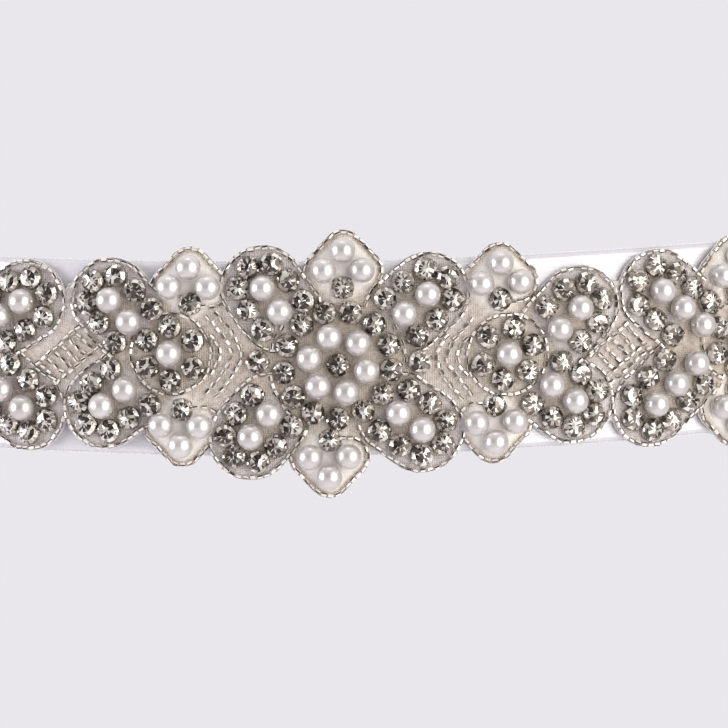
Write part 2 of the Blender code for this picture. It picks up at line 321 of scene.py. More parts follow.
def rhinestoneMaterial():
    # Machine-cut crystal, foiled: facets painted black, grey or white as reflections, under a glassy face.
    material, tree, shader = newMaterial(
        "foiledCutCrystal", Metallic=0.55, Roughness=0.08, Coat_Weight=1.0, Coat_Roughness=0.02, Coat_IOR=1.56,
    )
    # Each facet's tone is its painted reflection of the foil and the pavilion.
    tone = addNode(tree, "ShaderNodeAttribute", {"attribute_name": "tone"}).outputs["Fac"]
    stops = ((0.0, "#1E1812"), (0.25, "#5A4F44"), (0.5, "#A59B90"), (0.8, "#E2DDD4"), (1.0, "#F3EFE8"))
    tree.links.new(toneRamp(tree, tone, stops), shader.inputs["Base Color"])
    return material


def silverMaterial():
    # Stamped brass cups with a rhodium flash: bright, slightly worn by the stamping.
    material, tree, shader = newMaterial("rhodiumPlatedBrass", Metallic=1.0, Roughness=0.24)
    place = addNode(tree, "ShaderNodeTexCoord").outputs["Object"]
    wear = addNode(tree, "ShaderNodeTexNoise", links={"Vector": place}, Scale=2500.0, Detail=3.0)
    colour = toneRamp(tree, wear.outputs["Fac"], ((0.35, "#8F8A83"), (0.6, "#D9D5CF")))
    tree.links.new(colour, shader.inputs["Base Color"])
    return material


def cutBeadMaterial():
    # Silver-lined hex-cut glass: painted cream-white glints beside painted black dashes of dark reflection.
    material, tree, shader = newMaterial(
        "silverLinedCutGlass", Metallic=0.25, Roughness=0.15, Coat_Weight=0.8, Coat_Roughness=0.04, Coat_IOR=1.5,
    )
    # Each face's tone is painted: a highlight, a dark reflection or the glass's cream.
    tone = addNode(tree, "ShaderNodeAttribute", {"attribute_name": "tone"}).outputs["Fac"]
    stops = ((0.0, "#1F1812"), (0.3, "#978A7D"), (0.62, "#E8E0D6"), (0.88, "#F8F3EA"), (1.0, "#FBF8F3"))
    tree.links.new(toneRamp(tree, tone, stops), shader.inputs["Base Color"])
    return material


def threadMaterial(name, colour, shade):
    # Spun polyester thread: matt with a fine twist across it.
    material, tree, shader = newMaterial(name, Roughness=0.6, Sheen_Weight=0.3)
    place = addNode(tree, "ShaderNodeTexCoord").outputs["Object"]
    twist = addNode(tree, "ShaderNodeTexNoise", links={"Vector": place}, Scale=3000.0, Detail=2.0)
    tone = toneRamp(tree, twist.outputs["Fac"], ((0.3, shade), (0.7, colour)))
    tree.links.new(tone, shader.inputs["Base Color"])
    bump = addNode(tree, "ShaderNodeBump", links={"Height": twist.outputs["Fac"]}, Strength=0.3, Distance=0.0001)
    tree.links.new(bump.outputs["Normal"], shader.inputs["Normal"])
    return material


finishes = {
    "satin": satinMaterial(),
    "backing": backingMaterial(),
    "pearl": pearlMaterial(),
    "stone": rhinestoneMaterial(),
    "cup": silverMaterial(),
    "cutBead": cutBeadMaterial(),
    "whiteThread": threadMaterial("whiteSpunThread", "#F7F6F8", "#E2E0E6"),
    "beigeThread": threadMaterial("beigeSpunThread", "#DDD3C6", "#BDB1A2"),
}
print("finishes made")


# Meshes


def makePiece(name, verts, faces, material=None, flat=None, smooth=True, edges=()):
    mesh = bpy.data.meshes.new(name)
    mesh.from_pydata([tuple(v) for v in verts], list(edges), faces)
    if flat is not None:
        uvs = mesh.uv_layers.new(name="cloth")
        corners = np.empty(len(mesh.loops), np.int32)
        mesh.loops.foreach_get("vertex_index", corners)
        uvs.data.foreach_set("uv", np.asarray(flat, np.float32)[corners].ravel())
    if faces:
        mesh.polygons.foreach_set("use_smooth", [smooth] * len(mesh.polygons))
    if material is not None:
        mesh.materials.append(material)
    made = bpy.data.objects.new(name, mesh)
    bpy.context.scene.collection.objects.link(made)
    return made


def faceOutwards(piece):
    mesh = bmesh.new()
    mesh.from_mesh(piece.data)
    bmesh.ops.recalc_face_normals(mesh, faces=mesh.faces)
    mesh.to_mesh(piece.data)
    mesh.free()


def clothShell(name, alongs, lows, highs, rows, thickness, outerAt, material):
    # A closed thin shell between two edges: a ring of points for each place along, outside then inside.
    share = (1 - np.cos(np.linspace(0, math.pi, rows))) / 2
    share = 0.35 * share + 0.65 * np.linspace(0, 1, rows)
    up = lows[:, None] + (highs - lows)[:, None] * share[None, :]
    along = np.repeat(alongs[:, None], rows, axis=1)
    outer = outerAt(along, up)
    inner = outer - thickness
    ease = np.zeros(rows)
    ease[0] = ease[-1] = 0.32 * thickness  # rounds the cut edges
    upper = onWaist(along, up, outer - ease)
    lower = onWaist(along, up, inner + ease)
    ring = np.concatenate([upper, lower[:, ::-1]], axis=1)
    flat = np.concatenate([np.stack([along, up], -1), np.stack([along, up], -1)[:, ::-1]], axis=1)
    size = 2 * rows
    faces = []
    for column in range(len(alongs) - 1):
        for step in range(size):
            a = column * size + step
            b = column * size + (step + 1) % size
            faces.append((a, b, b + size, a + size))
    for column in (0, len(alongs) - 1):
        for step in range(rows - 1):
            base = column * size
            faces.append((base + step, base + step + 1, base + size - 2 - step, base + size - 1 - step))
    piece = makePiece(name, ring.reshape(-1, 3), faces, material, flat.reshape(-1, 2))
    faceOutwards(piece)
    return piece


# The ribbon

ribbonForm = {
    "width": 44.5 * mm,
    "lap": 60 * mm,
    "lapEase": 30 * mm,
    "face": 0.75 * mm,  # where the outer face lies off the waist
    "thickness": 0.42 * mm,
    "pitch": 1.6 * mm,
    "rows": 21,
    "ripple": 0.05 * mm,
    "selvedge": 0.06 * mm,
    "hem": 8 * mm,
}
creaseColumns = ("along", "up", "turn", "length", "width", "depth")
creaseTable = (  # soft drag lines beside the trim and round the sides, in mm and degrees
    (136, 6, 17, 32, 5.0, 0.90),
    (147, -8, -11, 44, 5.5, 0.95),
    (166, 3, 9, 46, 6.0, -0.75),
    (189, 9, 7, 62, 6.5, 1.20),
    (205, -8, -8, 58, 6.5, 1.05),
    (228, 2, -12, 48, 6.0, -0.80),
    (262, 6, 9, 66, 6.5, 1.15),
    (284, -8, -7, 52, 6.0, 0.95),
    (-138, -7, 15, 34, 5.0, 0.90),
    (-151, 8, -14, 42, 5.5, 0.90),
    (-170, -1, 7, 48, 6.0, -0.75),
    (-192, -9, -7, 60, 6.5, 1.20),
    (-208, 8, 9, 54, 6.5, 1.05),
    (-233, -3, 11, 50, 6.0, -0.80),
    (-266, -7, -8, 64, 6.5, 1.10),
    (-288, 7, 7, 50, 6.0, 0.95),
)
creases = named(creaseColumns, creaseTable)


def lapLift(along):
    ease = (along - (waistLength / 2 - ribbonForm["lap"] / 2 - ribbonForm["lapEase"])) / ribbonForm["lapEase"]
    ease = np.clip(ease, 0, 1)
    return (layers["ribbonWall"] + layers["seamGap"]) * ease * ease * (3 - 2 * ease)


def satinRelief(along, up):
    a, u = along / mm, up / mm
    relief = ribbonForm["ripple"] * (np.sin(a / 9.0 + u / 14) + 0.6 * np.sin(a / 5.3 - u / 8 + 1.3))
    for crease in creases:
        cos, sin = math.cos(math.radians(crease["turn"])), math.sin(math.radians(crease["turn"]))
        da, du = a - crease["along"], u - crease["up"]
        run, side = da * cos + du * sin, -da * sin + du * cos
        relief += crease["depth"] * mm * np.exp(-((run / crease["length"] * 2) ** 2) - (side / crease["width"] * 2) ** 2)
    edge = np.abs(up) / (ribbonForm["width"] / 2)
    relief += ribbonForm["selvedge"] * np.clip((edge - 0.95) / 0.05, 0, 1)
    end = (waistLength + ribbonForm["lap"]) / 2 - ribbonForm["hem"]
    relief += 0.10 * mm * np.clip((along - end) / (0.5 * mm), 0, 1)  # the hem's two layers
    relief -= 0.10 * mm * np.exp(-(((along - end) / (0.7 * mm)) ** 2))  # drawn in by its stitches
    return relief


def buildRibbon():
    length = waistLength + ribbonForm["lap"]
    alongs = np.linspace(-length / 2, length / 2, math.ceil(length / ribbonForm["pitch"]) + 1)
    alongs = np.unique(np.concatenate([alongs, length / 2 - ribbonForm["hem"] + np.linspace(-1, 1, 9) * mm]))
    half = np.full(len(alongs), ribbonForm["width"] / 2)
    return clothShell(
        "ribbonSatin", alongs, -half, half, ribbonForm["rows"], ribbonForm["thickness"],
        lambda along, up: ribbonForm["face"] + lapLift(along) + satinRelief(along, up), finishes["satin"],
    )


ribbonPiece = buildRibbon()
print("ribbon made")


# The trim's layout


def leafReach(leaf):
    return (leaf["pearls"] - 1) / 2 * motif["leafPearlPitch"]


def leafRow(leaf):
    # Places of a leaf's stones: round its end, then down both sides
    end = leafReach(leaf) + motif["leafEndEase"]
    quarter = motif["leafRowRadius"] * math.pi / 2
    for index in range(leaf["stones"]):
        run = (index - (leaf["stones"] - 1) / 2) * motif["rowPitch"] + leaf["shift"]
        if abs(run) < quarter:
            swing = run / motif["leafRowRadius"]
            yield end + motif["leafRowRadius"] * math.cos(swing), motif["leafRowRadius"] * math.sin(swing)
        else:
            yield end - (abs(run) - quarter), math.copysign(motif["leafRowRadius"], run)


def beadPlaces():
    for flower in flowers:
        yield flower["middle"], flower["along"], flower["up"]
        for kind in ("pearl", "stone"):
            count = flower[kind + "s"]
            for index in range(count):
                dx, dz = turned(flower[kind + "Turn"] + 360 * index / count, flower[kind + "Ring"], 0)
                yield kind, flower["along"] + dx, flower["up"] + dz
    for trio in trios:
        along, up, way = trio["along"], trio["up"], trio["way"]
        yield "stone", along, up
        for side in (-1, 1):
            yield "pearl", along + side * motif["trioSpread"], up + way * motif["trioRise"]
        yield "pearl", along, up + way * (motif["trioRise"] + motif["trioTip"])
    for leaf in leaves:
        for index in range(leaf["pearls"]):
            dx, dz = turned(leaf["turn"], (index - (leaf["pearls"] - 1) / 2) * motif["leafPearlPitch"], 0)
            yield "pearl", leaf["along"] + dx, leaf["up"] + dz
    for along, up in singleStones:
        yield "stone", along, up
    for leaf in leaves:
        for place in leafRow(leaf):
            dx, dz = turned(leaf["turn"], *place)
            yield "stone", leaf["along"] + dx, leaf["up"] + dz


def sewnBeads():
    sewn = []
    for kind, along, up in beadPlaces():
        radius = motif[kind + "Radius"]
        clear = all(
            math.hypot(along - a, up - u) > radius + motif[other + "Radius"] + motif["beadClearance"]
            for other, a, u in sewn
        )
        if clear:
            sewn.append((kind, along, up))
    return sewn


beads = sewnBeads()
pearlPlaces = np.array([(a, u) for kind, a, u in beads if kind == "pearl"])
stonePlaces = np.array([(a, u) for kind, a, u in beads if kind == "stone"])


def leafEnds(leaf):
    ends = []
    for step in (-leafReach(leaf), leafReach(leaf) + motif["leafEndEase"]):
        dx, dz = turned(leaf["turn"], step, 0)
        ends.append((leaf["along"] + dx, leaf["up"] + dz))
    return ends


def trioCorners(trio):
    along, up, way = trio["along"], trio["up"], trio["way"]
    pair = [(along + side * motif["trioSpread"], up + way * motif["trioRise"]) for side in (-way, way)]
    return [pair[1], (along, up + way * (motif["trioRise"] + motif["trioTip"])), pair[0]]


def edgeShapes():
    shapes = []
    for flower in flowers:
        here = (flower["along"], flower["up"])
        shapes.append((here, here, flower["stoneRing"] + motif["flowerEdge"]))
    for trio in trios:
        first, tip, last = trioCorners(trio)
        shapes.append((first, tip, motif["trioEdgeRadius"]))
        shapes.append((last, tip, motif["trioEdgeRadius"]))
    for leaf in leaves:
        shapes.append((*leafEnds(leaf), motif["leafEdgeRadius"]))
    for neck in necks:
        high = (neck["along"], neck["top"] - motif["neckRadius"])
        low = (neck["along"], neck["bottom"] + motif["neckRadius"])
        shapes.append((high, low, motif["neckRadius"]))
    return shapes


outlineShapes = edgeShapes()


def capsuleTop(shape, along, way):
    (ax, az), (bx, bz), radius = shape
    found = [
        way * z + math.sqrt(radius * radius - (along - x) ** 2)
        for x, z in ((ax, az), (bx, bz)) if abs(along - x) <= radius
    ]
    span = math.hypot(bx - ax, bz - az)
    if span > 0 and abs(bx - ax) > 0:
        nx, nz = (az - bz) / span, (bx - ax) / span
        if nz * way < 0:
            nx, nz = -nx, -nz
        start, end = ax + radius * nx, bx + radius * nx
        if min(start, end) <= along <= max(start, end):
            found.append(way * (az + radius * nz + (along - start) / (end - start) * (bz - az)))
    return max(found, default=-math.inf)


def edgeAt(along, way):
    return way * max(capsuleTop(shape, along, way) for shape in outlineShapes)


backingForm = {
    "thickness": 1.05 * mm,
    "pitch": 0.8,
    "finest": 0.16,
    "slopeStep": 0.05,
    "rows": 30,
    "puff": 0.45 * mm,  # how far a pearl trio's cell is padded
}


def outlineColumns():
    right = max(max(a[0], b[0]) + radius for a, b, radius in outlineShapes)
    left = min(min(a[0], b[0]) - radius for a, b, radius in outlineShapes)
    columns = []
    along = left + 0.06
    while along < right - 0.06:
        high, low = edgeAt(along, 1), edgeAt(along, -1)
        columns.append((along, low, high))
        ahead = along + backingForm["slopeStep"]
        slope = max(abs(edgeAt(ahead, 1) - high), abs(edgeAt(ahead, -1) - low)) / backingForm["slopeStep"]
        along += max(backingForm["finest"], backingForm["pitch"] / math.hypot(1, min(slope, 1e3)))
    return np.array(columns)


def segmentDistance(points, a, b):
    a, b = np.array(a, float), np.array(b, float)
    span = b - a
    length = max(float(span @ span), 1e-9)
    share = np.clip(((points - a) @ span) / length, 0, 1)
    return np.linalg.norm(points - (a + share[..., None] * span), axis=-1)


def hullDistance(points, corners):
    pairs = zip(corners, corners[1:] + corners[:1])
    return np.min([segmentDistance(points, a, b) for a, b in pairs], axis=0)


def softStep(value, low, high):
    share = np.clip((value - low) / (high - low), 0, 1)
    return share * share * (3 - 2 * share)


def cellDepth(points):
    # How far inside a pearl trio's padded cell each point is, from 0 to 1
    depth = np.zeros(points.shape[:-1])
    for trio in trios:
        corners = trioCorners(trio) + [(trio["along"], trio["up"])]
        depth = np.maximum(depth, 1 - softStep(hullDistance(points, corners), 2.2, 4.3))
    for leaf in leaves:
        depth *= softStep(segmentDistance(points, *leafEnds(leaf)), 8.4, 9.6)
    return depth


def clothTint(points):
    tint = {key: np.array(linearColour(backingLook[key])[:3]) for key in ("warm", "net", "ivory", "lavender")}
    near = np.full(points.shape[:-1], 99.0)
    for places, radius in ((pearlPlaces, motif["pearlRadius"]), (stonePlaces, motif["stoneRadius"])):
        for place in places:
            near = np.minimum(near, np.linalg.norm(points - place, axis=-1) - radius)
    openNet = softStep(near, 0.8, 3.0)[..., None]
    colour = tint["warm"] * (1 - openNet) + tint["net"] * openNet
    lavender = np.zeros(points.shape[:-1])
    for leaf in leaves:
        tip = np.array(leafEnds(leaf)[1])
        lavender = np.maximum(lavender, 1 - softStep(np.abs(np.linalg.norm(points - tip, axis=-1) - 8.6), 0.9, 2.8))
    lavender = 0.85 * lavender[..., None]
    colour = colour * (1 - lavender) + tint["lavender"] * lavender
    ivory = cellDepth(points)[..., None]
    return colour * (1 - ivory) + tint["ivory"] * ivory


columns = outlineColumns()


def buildBacking():
    def faceAt(along, up):
        points = np.stack([along, up], -1) / mm
        return layers["floor"] - 0.05 * mm + backingForm["puff"] * cellDepth(points)

    piece = clothShell(
        "appliqueBacking", columns[:, 0] * mm, columns[:, 1] * mm, columns[:, 2] * mm, backingForm["rows"],
        backingForm["thickness"], faceAt, finishes["backing"],
    )
    uvs = np.empty(len(piece.data.loops) * 2, np.float32)
    piece.data.uv_layers["cloth"].data.foreach_get("uv", uvs)
    corners = np.empty(len(piece.data.loops), np.int32)
    piece.data.loops.foreach_get("vertex_index", corners)
    flat = np.zeros((len(piece.data.vertices), 2))
    flat[corners] = uvs.reshape(-1, 2) / mm
    tint = piece.data.attributes.new("tint", "FLOAT_COLOR", "POINT")
    colour = np.concatenate([clothTint(flat), np.ones((len(flat), 1))], axis=1)
    tint.data.foreach_set("color", colour.astype(np.float32).ravel())
    piece.data.attributes.new("padded", "FLOAT", "POINT").data.foreach_set("value", cellDepth(flat).astype(np.float32))
    return piece


backingPiece = buildBacking()


# Shapes of the beads. Each is made once, in metres, with +Z out of the cloth and +X along its row.


def shapeObject(name, verts, faces, paintedFacetTones=None, smooth=False):
    mesh = bpy.data.meshes.new(name)
    mesh.from_pydata([tuple(v) for v in verts], [], faces)
    mesh.polygons.foreach_set("use_smooth", [smooth] * len(mesh.polygons))
    if paintedFacetTones is not None:
        mesh.attributes.new("tone", "FLOAT", "FACE").data.foreach_set("value", paintedFacetTones)
    return bpy.data.objects.new(name, mesh)


def shapeSet(name, shapes):
    collection = bpy.data.collections.new(name)
    for shape in shapes:
        collection.objects.link(shape)
    return collection


def lathe(profile, sides, turn=0.0, ends="fans"):
    # Rings of (radius, height) round +Z, from the foot up, with its ends closed by fans, joined or left open
    verts, faces = [], []
    for radius, height in profile:
        for index in range(sides):
            angle = turn + 2 * math.pi * index / sides
            verts.append((radius * math.cos(angle), radius * math.sin(angle), height))
    for ring in range(len(profile) - (ends != "joined")):
        for index in range(sides):
            after = (index + 1) % sides
            low, high = ring * sides, (ring + 1) % len(profile) * sides
            faces.append((low + index, low + after, high + after, high + index))
    if ends == "fans":
        faces.append(tuple(reversed(range(sides))))
        faces.append(tuple(range((len(profile) - 1) * sides, len(profile) * sides)))
    return verts, faces


pearlForm = {"radius": motif["pearlRadius"] * mm, "sides": 28, "rings": 13, "hole": 0.35 * mm}


def pearlShape():
    radius, hole = pearlForm["radius"], pearlForm["hole"]
    first = math.asin(hole / radius)
    profile = [(hole * 0.6, -radius * 0.88)]
    for ring in range(pearlForm["rings"]):
        angle = first + (math.pi - 2 * first) * ring / (pearlForm["rings"] - 1)
        profile.append((radius * math.sin(angle), -radius * math.cos(angle)))
    profile.append((hole * 0.6, radius * 0.88))
    verts, faces = lathe(profile, pearlForm["sides"])
    verts = [(z, y, -x) for x, y, z in verts]  # the drilled hole lies along the row
    return shapeObject("pearlShape", verts, faces, smooth=True)


stoneForm = {
    "radius": 2.72 * mm,  # with the cup, a little wider than the solid's plain one
    "facets": 16,
    "kinds": 10,
    "culetShift": 0.10,
    "tableRise": 0.10,  # a low point in the table's middle, so that its facets glint one by one
    "rings": ((0.33, 0.98), (0.70, 0.89), (0.98, 0.60), (0.84, 0.18)),  # table, star facets, girdle, pavilion
    # Painted reflection tones for the facets, dark, middle and bright, and how often each kind is drawn
    "dark": (0.0, 0.06, 0.14, 0.24),
    "middle": (0.36, 0.46, 0.58),
    "bright": (0.8, 0.92, 1.0),
    "shares": (0.37, 0.26, 0.37),
}


def stoneShape(seed):
    dice = np.random.default_rng(seed)
    count, radius = stoneForm["facets"], stoneForm["radius"]
    angles = (np.arange(count) + dice.uniform(-0.25, 0.25, count)) * 2 * math.pi / count
    culet = dice.uniform(-stoneForm["culetShift"], stoneForm["culetShift"], 2)
    tableHeight = stoneForm["rings"][0][1] + stoneForm["tableRise"]
    verts = [(culet[0] * radius, culet[1] * radius, tableHeight * radius)]
    for number, (out, height) in enumerate(stoneForm["rings"]):
        swing = angles + (math.pi / count if number == 1 else 0)
        rise = dice.uniform(-0.012, 0.012, count) if number == 1 else np.zeros(count)
        for angle, lift in zip(swing, rise):
            verts.append((out * math.cos(angle) * radius, out * math.sin(angle) * radius, (height + lift) * radius))
    faces, paintedFacetTones = [], []

    def tone(kind=None):
        kind = kind or ("dark", "middle", "bright")[dice.choice(3, p=stoneForm["shares"])]
        return float(dice.choice(stoneForm[kind]))

    zone = tone("dark")
    for index in range(count):  # the table shows a few large patches of painted reflection
        if dice.random() < 0.40:
            zone = tone()
        faces.append((0, 1 + index, 1 + (index + 1) % count))
        paintedFacetTones.append(zone)
    for index in range(count):  # star facets get painted glints and darks in thin spokes
        after = (index + 1) % count
        low, high = 1, 1 + count
        faces.append((low + index, high + index, low + after))
        paintedFacetTones.append(tone("bright") if dice.random() < 0.42 else tone("dark"))
        faces.append((low + after, high + index, high + after))
        paintedFacetTones.append(tone("dark") if dice.random() < 0.5 else tone())
    for index in range(count):  # crown facets in pairs
        after = (index + 1) % count
        low, high = 1 + count, 1 + 2 * count
        if index % 2 == 0:
            zone = tone()
        faces.append((low + index, high + after, low + after))
        paintedFacetTones.append(zone if dice.random() < 0.7 else tone())
        faces.append((low + index, high + index, high + after))
        paintedFacetTones.append(zone if dice.random() < 0.8 else tone())
    # The band below the girdle is painted dark, and the base black.
    for index in range(count):
        after = (index + 1) % count
        low, high = 1 + 2 * count, 1 + 3 * count
        faces.append((low + index, high + index, high + after, low + after))
        paintedFacetTones.append(tone("dark"))
    faces.append(tuple(reversed(range(1 + 3 * count, 1 + 4 * count))))
    paintedFacetTones.append(0.0)
    return shapeObject(f"stoneShape{seed}", verts, faces, paintedFacetTones)


cupForm = {
    "radius": 2.76 * mm,
    "wall": ((0.78, 0.02), (0.95, 0.0), (1.0, 0.22), (0.985, 0.50), (0.955, 0.60), (0.925, 0.57), (0.90, 0.30)),
    "sides": 20,
    "prongs": 4,
    "prongWidth": 0.19,
    "prongLine": ((1.05, 0.30), (1.05, 0.62), (0.95, 0.79), (0.83, 0.87)),
    "prongThickness": 0.055,
}


def cupShape():
    radius = cupForm["radius"]
    verts, faces = lathe([(r * radius, z * radius) for r, z in cupForm["wall"]], cupForm["sides"], ends="joined")
    for prong in range(cupForm["prongs"]):
        turn = math.radians(45) + 2 * math.pi * prong / cupForm["prongs"]
        cos, sin = math.cos(turn), math.sin(turn)
        start = len(verts)
        for number, (out, height) in enumerate(cupForm["prongLine"]):
            half = cupForm["prongWidth"] * (1 - 0.16 * number)
            for side, depth in ((-half, 0), (half, 0), (half, -1), (-half, -1)):
                r = out + depth * cupForm["prongThickness"]
                z = height + depth * cupForm["prongThickness"] * 0.7
                verts.append(((r * cos - side * sin) * radius, (r * sin + side * cos) * radius, z * radius))
        for number in range(len(cupForm["prongLine"]) - 1):
            for corner in range(4):
                after = (corner + 1) % 4
                low, high = start + 4 * number, start + 4 * number + 4
                faces.append((low + corner, low + after, high + after, high + corner))
        last = start + 4 * (len(cupForm["prongLine"]) - 1)
        faces.append((start + 3, start + 2, start + 1, start))
        faces.append((last, last + 1, last + 2, last + 3))
    return shapeObject("cupShape", verts, faces, smooth=False)


cutBeadForm = {
    "length": 1.46 * mm,
    "radius": 0.50 * mm,
    "shoulder": 0.12 * mm,
    "hole": 0.16 * mm,
    "paintedStreaks": (  # painted highlight and dark-reflection tones of the eight sides from the cloth round; the fifth faces out
        (0.5, 0.62, 0.66, 0.55, 1.0, 0.02, 0.55, 0.62),
        (0.5, 0.60, 0.55, 0.03, 1.0, 0.60, 0.62, 0.60),
        (0.5, 0.62, 0.60, 1.0, 0.90, 0.0, 0.20, 0.62),
        (0.5, 0.62, 0.20, 0.0, 0.92, 1.0, 0.60, 0.62),
        (0.5, 0.60, 0.66, 0.92, 0.30, 0.02, 0.60, 0.62),
        (0.5, 0.62, 0.06, 0.55, 1.0, 0.10, 0.25, 0.62),
        (0.5, 0.62, 0.60, 0.15, 0.02, 1.0, 0.62, 0.62),
        (0.5, 0.62, 0.62, 1.0, 0.04, 0.96, 0.62, 0.62),
        (0.5, 0.62, 0.66, 0.90, 0.25, 1.0, 0.30, 0.62),
    ),
}


def cutBeadShape(number):
    half, radius, hole = cutBeadForm["length"] / 2, cutBeadForm["radius"], cutBeadForm["hole"]
    profile = [(hole, -half), (radius, -half + cutBeadForm["shoulder"])]
    profile += [(r, -z) for r, z in reversed(profile)]
    verts, faces = lathe(profile, 8, turn=-math.pi / 8)
    verts = [(z, y, -x) for x, y, z in verts]
    paintedStreaks = cutBeadForm["paintedStreaks"][number]
    # The chamfered ends get a muted copy of the painted streaks; the discs over the holes are painted black as the
    # shade inside.
    ends = [0.25 + 0.5 * tone for tone in paintedStreaks]
    return shapeObject(f"cutBeadShape{number}", verts, faces, [*ends, *paintedStreaks, *ends, 0.0, 0.0])


def threadShape(name, points, radius, sides):
    # A short thread through a few points in the row's own plane
    points = np.array(points, float)
    verts, faces = [], []
    for number, point in enumerate(points):
        before, after = points[max(number - 1, 0)], points[min(number + 1, len(points) - 1)]
        run = (after - before) / np.linalg.norm(after - before)
        side = np.cross(run, (0, 0, 1.0)) if abs(run[2]) < 0.9 else np.array((0, 1.0, 0))
        side /= np.linalg.norm(side)
        lift = np.cross(side, run)
        for index in range(sides):
            angle = 2 * math.pi * index / sides
            verts.append(point + radius * (math.cos(angle) * side + math.sin(angle) * lift))
    for number in range(len(points) - 1):
        for index in range(sides):
            after = (index + 1) % sides
            low, high = number * sides, (number + 1) * sides
            faces.append((low + index, high + index, high + after, low + after))
    faces.append(tuple(range(sides)))
    faces.append(tuple(reversed(range((len(points) - 1) * sides, len(points) * sides))))
    return shapeObject(name, verts, faces, smooth=True)


stitchForm = {"length": 2.4 * mm, "radius": 0.11 * mm, "rise": 0.12 * mm}
loopForm = {"width": 0.72 * mm, "reach": 0.42 * mm, "radius": 0.10 * mm}


def stitchShape():
    half, rise = stitchForm["length"] / 2, stitchForm["rise"]
    points = [(-half, 0, -rise), (-half * 0.8, 0, 0), (0, 0, rise * 0.3), (half * 0.8, 0, 0), (half, 0, -rise)]
    return threadShape("stitchShape", points, stitchForm["radius"], 6)


def loopShape():
    swings = np.linspace(0, math.pi, 6)
    points = [(loopForm["width"] / 2 * math.cos(s), loopForm["reach"] * math.sin(s), 0) for s in swings]
    return threadShape("loopShape", points, loopForm["radius"], 5)


shapeSets = {
    "pearl": shapeSet("pearlShapes", [pearlShape()]),
    "stone": shapeSet("stoneShapes", [stoneShape(seed) for seed in range(stoneForm["kinds"])]),
    "cup": shapeSet("cupShapes", [cupShape()]),
    "cutBead": shapeSet("cutBeadShapes", [cutBeadShape(number) for number in range(len(cutBeadForm["paintedStreaks"]))]),
    "stitch": shapeSet("stitchShapes", [stitchShape()]),
    "loop": shapeSet("loopShapes", [loopShape()]),
}


# Geometry Nodes: one tree sews shapes at points, the other along rows


def sewingTree(name, alongRows):
    tree = bpy.data.node_groups.new(name, "GeometryNodeTree")
    tree.is_modifier = True
    faceIn = tree.interface.new_socket
    faceIn("Geometry", in_out="INPUT", socket_type="NodeSocketGeometry")
    faceIn("Shapes", in_out="INPUT", socket_type="NodeSocketCollection")
    faceIn("Finish", in_out="INPUT", socket_type="NodeSocketMaterial")
    faceIn("Size Spread", in_out="INPUT", socket_type="NodeSocketFloat")
    faceIn("Turn", in_out="INPUT", socket_type="NodeSocketVector")
    faceIn("Seed", in_out="INPUT", socket_type="NodeSocketInt")
    if alongRows:
        faceIn("Pitch", in_out="INPUT", socket_type="NodeSocketFloat")
    faceIn("Geometry", in_out="OUTPUT", socket_type="NodeSocketGeometry")
    given = addNode(tree, "NodeGroupInput").outputs
    points = given["Geometry"]
    tangent = addNode(tree, "GeometryNodeInputNamedAttribute", {"data_type": "FLOAT_VECTOR"}, Name="tangent")
    tangent = socketOf(tangent.outputs, "Attribute")
    if alongRows:
        rows = addNode(tree, "GeometryNodeMeshToCurve", links={"Mesh": points})
        beaded = addNode(
            tree, "GeometryNodeCurveToPoints", {"mode": "LENGTH"},
            {"Curve": rows.outputs["Curve"], "Length": given["Pitch"]},
        )
        points, tangent = beaded.outputs["Points"], beaded.outputs["Tangent"]
    outward = addNode(tree, "GeometryNodeInputNamedAttribute", {"data_type": "FLOAT_VECTOR"}, Name="outward")
    stand = addNode(
        tree, "FunctionNodeAxesToRotation", {"primary_axis": "Z", "secondary_axis": "X"},
        {"Primary Axis": socketOf(outward.outputs, "Attribute"), "Secondary Axis": tangent},
    )
    back = addNode(tree, "ShaderNodeVectorMath", {"operation": "SCALE"}, {0: given["Turn"]}, Scale=-1.0)
    dice = addNode(
        tree, "FunctionNodeRandomValue", {"data_type": "FLOAT_VECTOR"},
        {"Min": back.outputs["Vector"], "Max": given["Turn"], "Seed": given["Seed"]},
    )
    roll = addNode(tree, "FunctionNodeEulerToRotation", links={"Euler": socketOf(dice.outputs, "Value")})
    turnedBy = addNode(
        tree, "FunctionNodeRotateRotation", {"rotation_space": "LOCAL"},
        {"Rotation": stand.outputs["Rotation"], "Rotate By": roll.outputs["Rotation"]},
    )
    least = addNode(tree, "ShaderNodeMath", {"operation": "SUBTRACT"}, {1: given["Size Spread"]})
    least.inputs[0].default_value = 1.0
    size = addNode(
        tree, "FunctionNodeRandomValue", {"data_type": "FLOAT"}, {"Min": least.outputs[0], "Seed": given["Seed"]},
        Max=1.0,
    )
    pick = addNode(tree, "FunctionNodeRandomValue", {"data_type": "INT"}, {"Seed": given["Seed"]}, Min=0, Max=999)
    shapes = addNode(tree, "GeometryNodeCollectionInfo", links={"Collection": given["Shapes"]})
    shapes.inputs["Separate Children"].default_value = True
    shapes.inputs["Reset Children"].default_value = True
    placed = addNode(
        tree, "GeometryNodeInstanceOnPoints",
        links={
            "Points": points,
            "Instance": shapes.outputs["Instances"],
            "Instance Index": socketOf(pick.outputs, "Value"),
            "Rotation": turnedBy.outputs["Rotation"],
            "Scale": socketOf(size.outputs, "Value"),
        },
    )
    placed.inputs["Pick Instance"].default_value = True
    real = addNode(tree, "GeometryNodeRealizeInstances", links={"Geometry": placed.outputs["Instances"]})
    painted = addNode(
        tree, "GeometryNodeSetMaterial", links={"Geometry": real.outputs["Geometry"], "Material": given["Finish"]},
    )
    addNode(tree, "NodeGroupOutput", links={"Geometry": painted.outputs["Geometry"]})
    return tree


pointTree = sewingTree("sewnAtPoints", False)
rowTree = sewingTree("strungAlongRows", True)


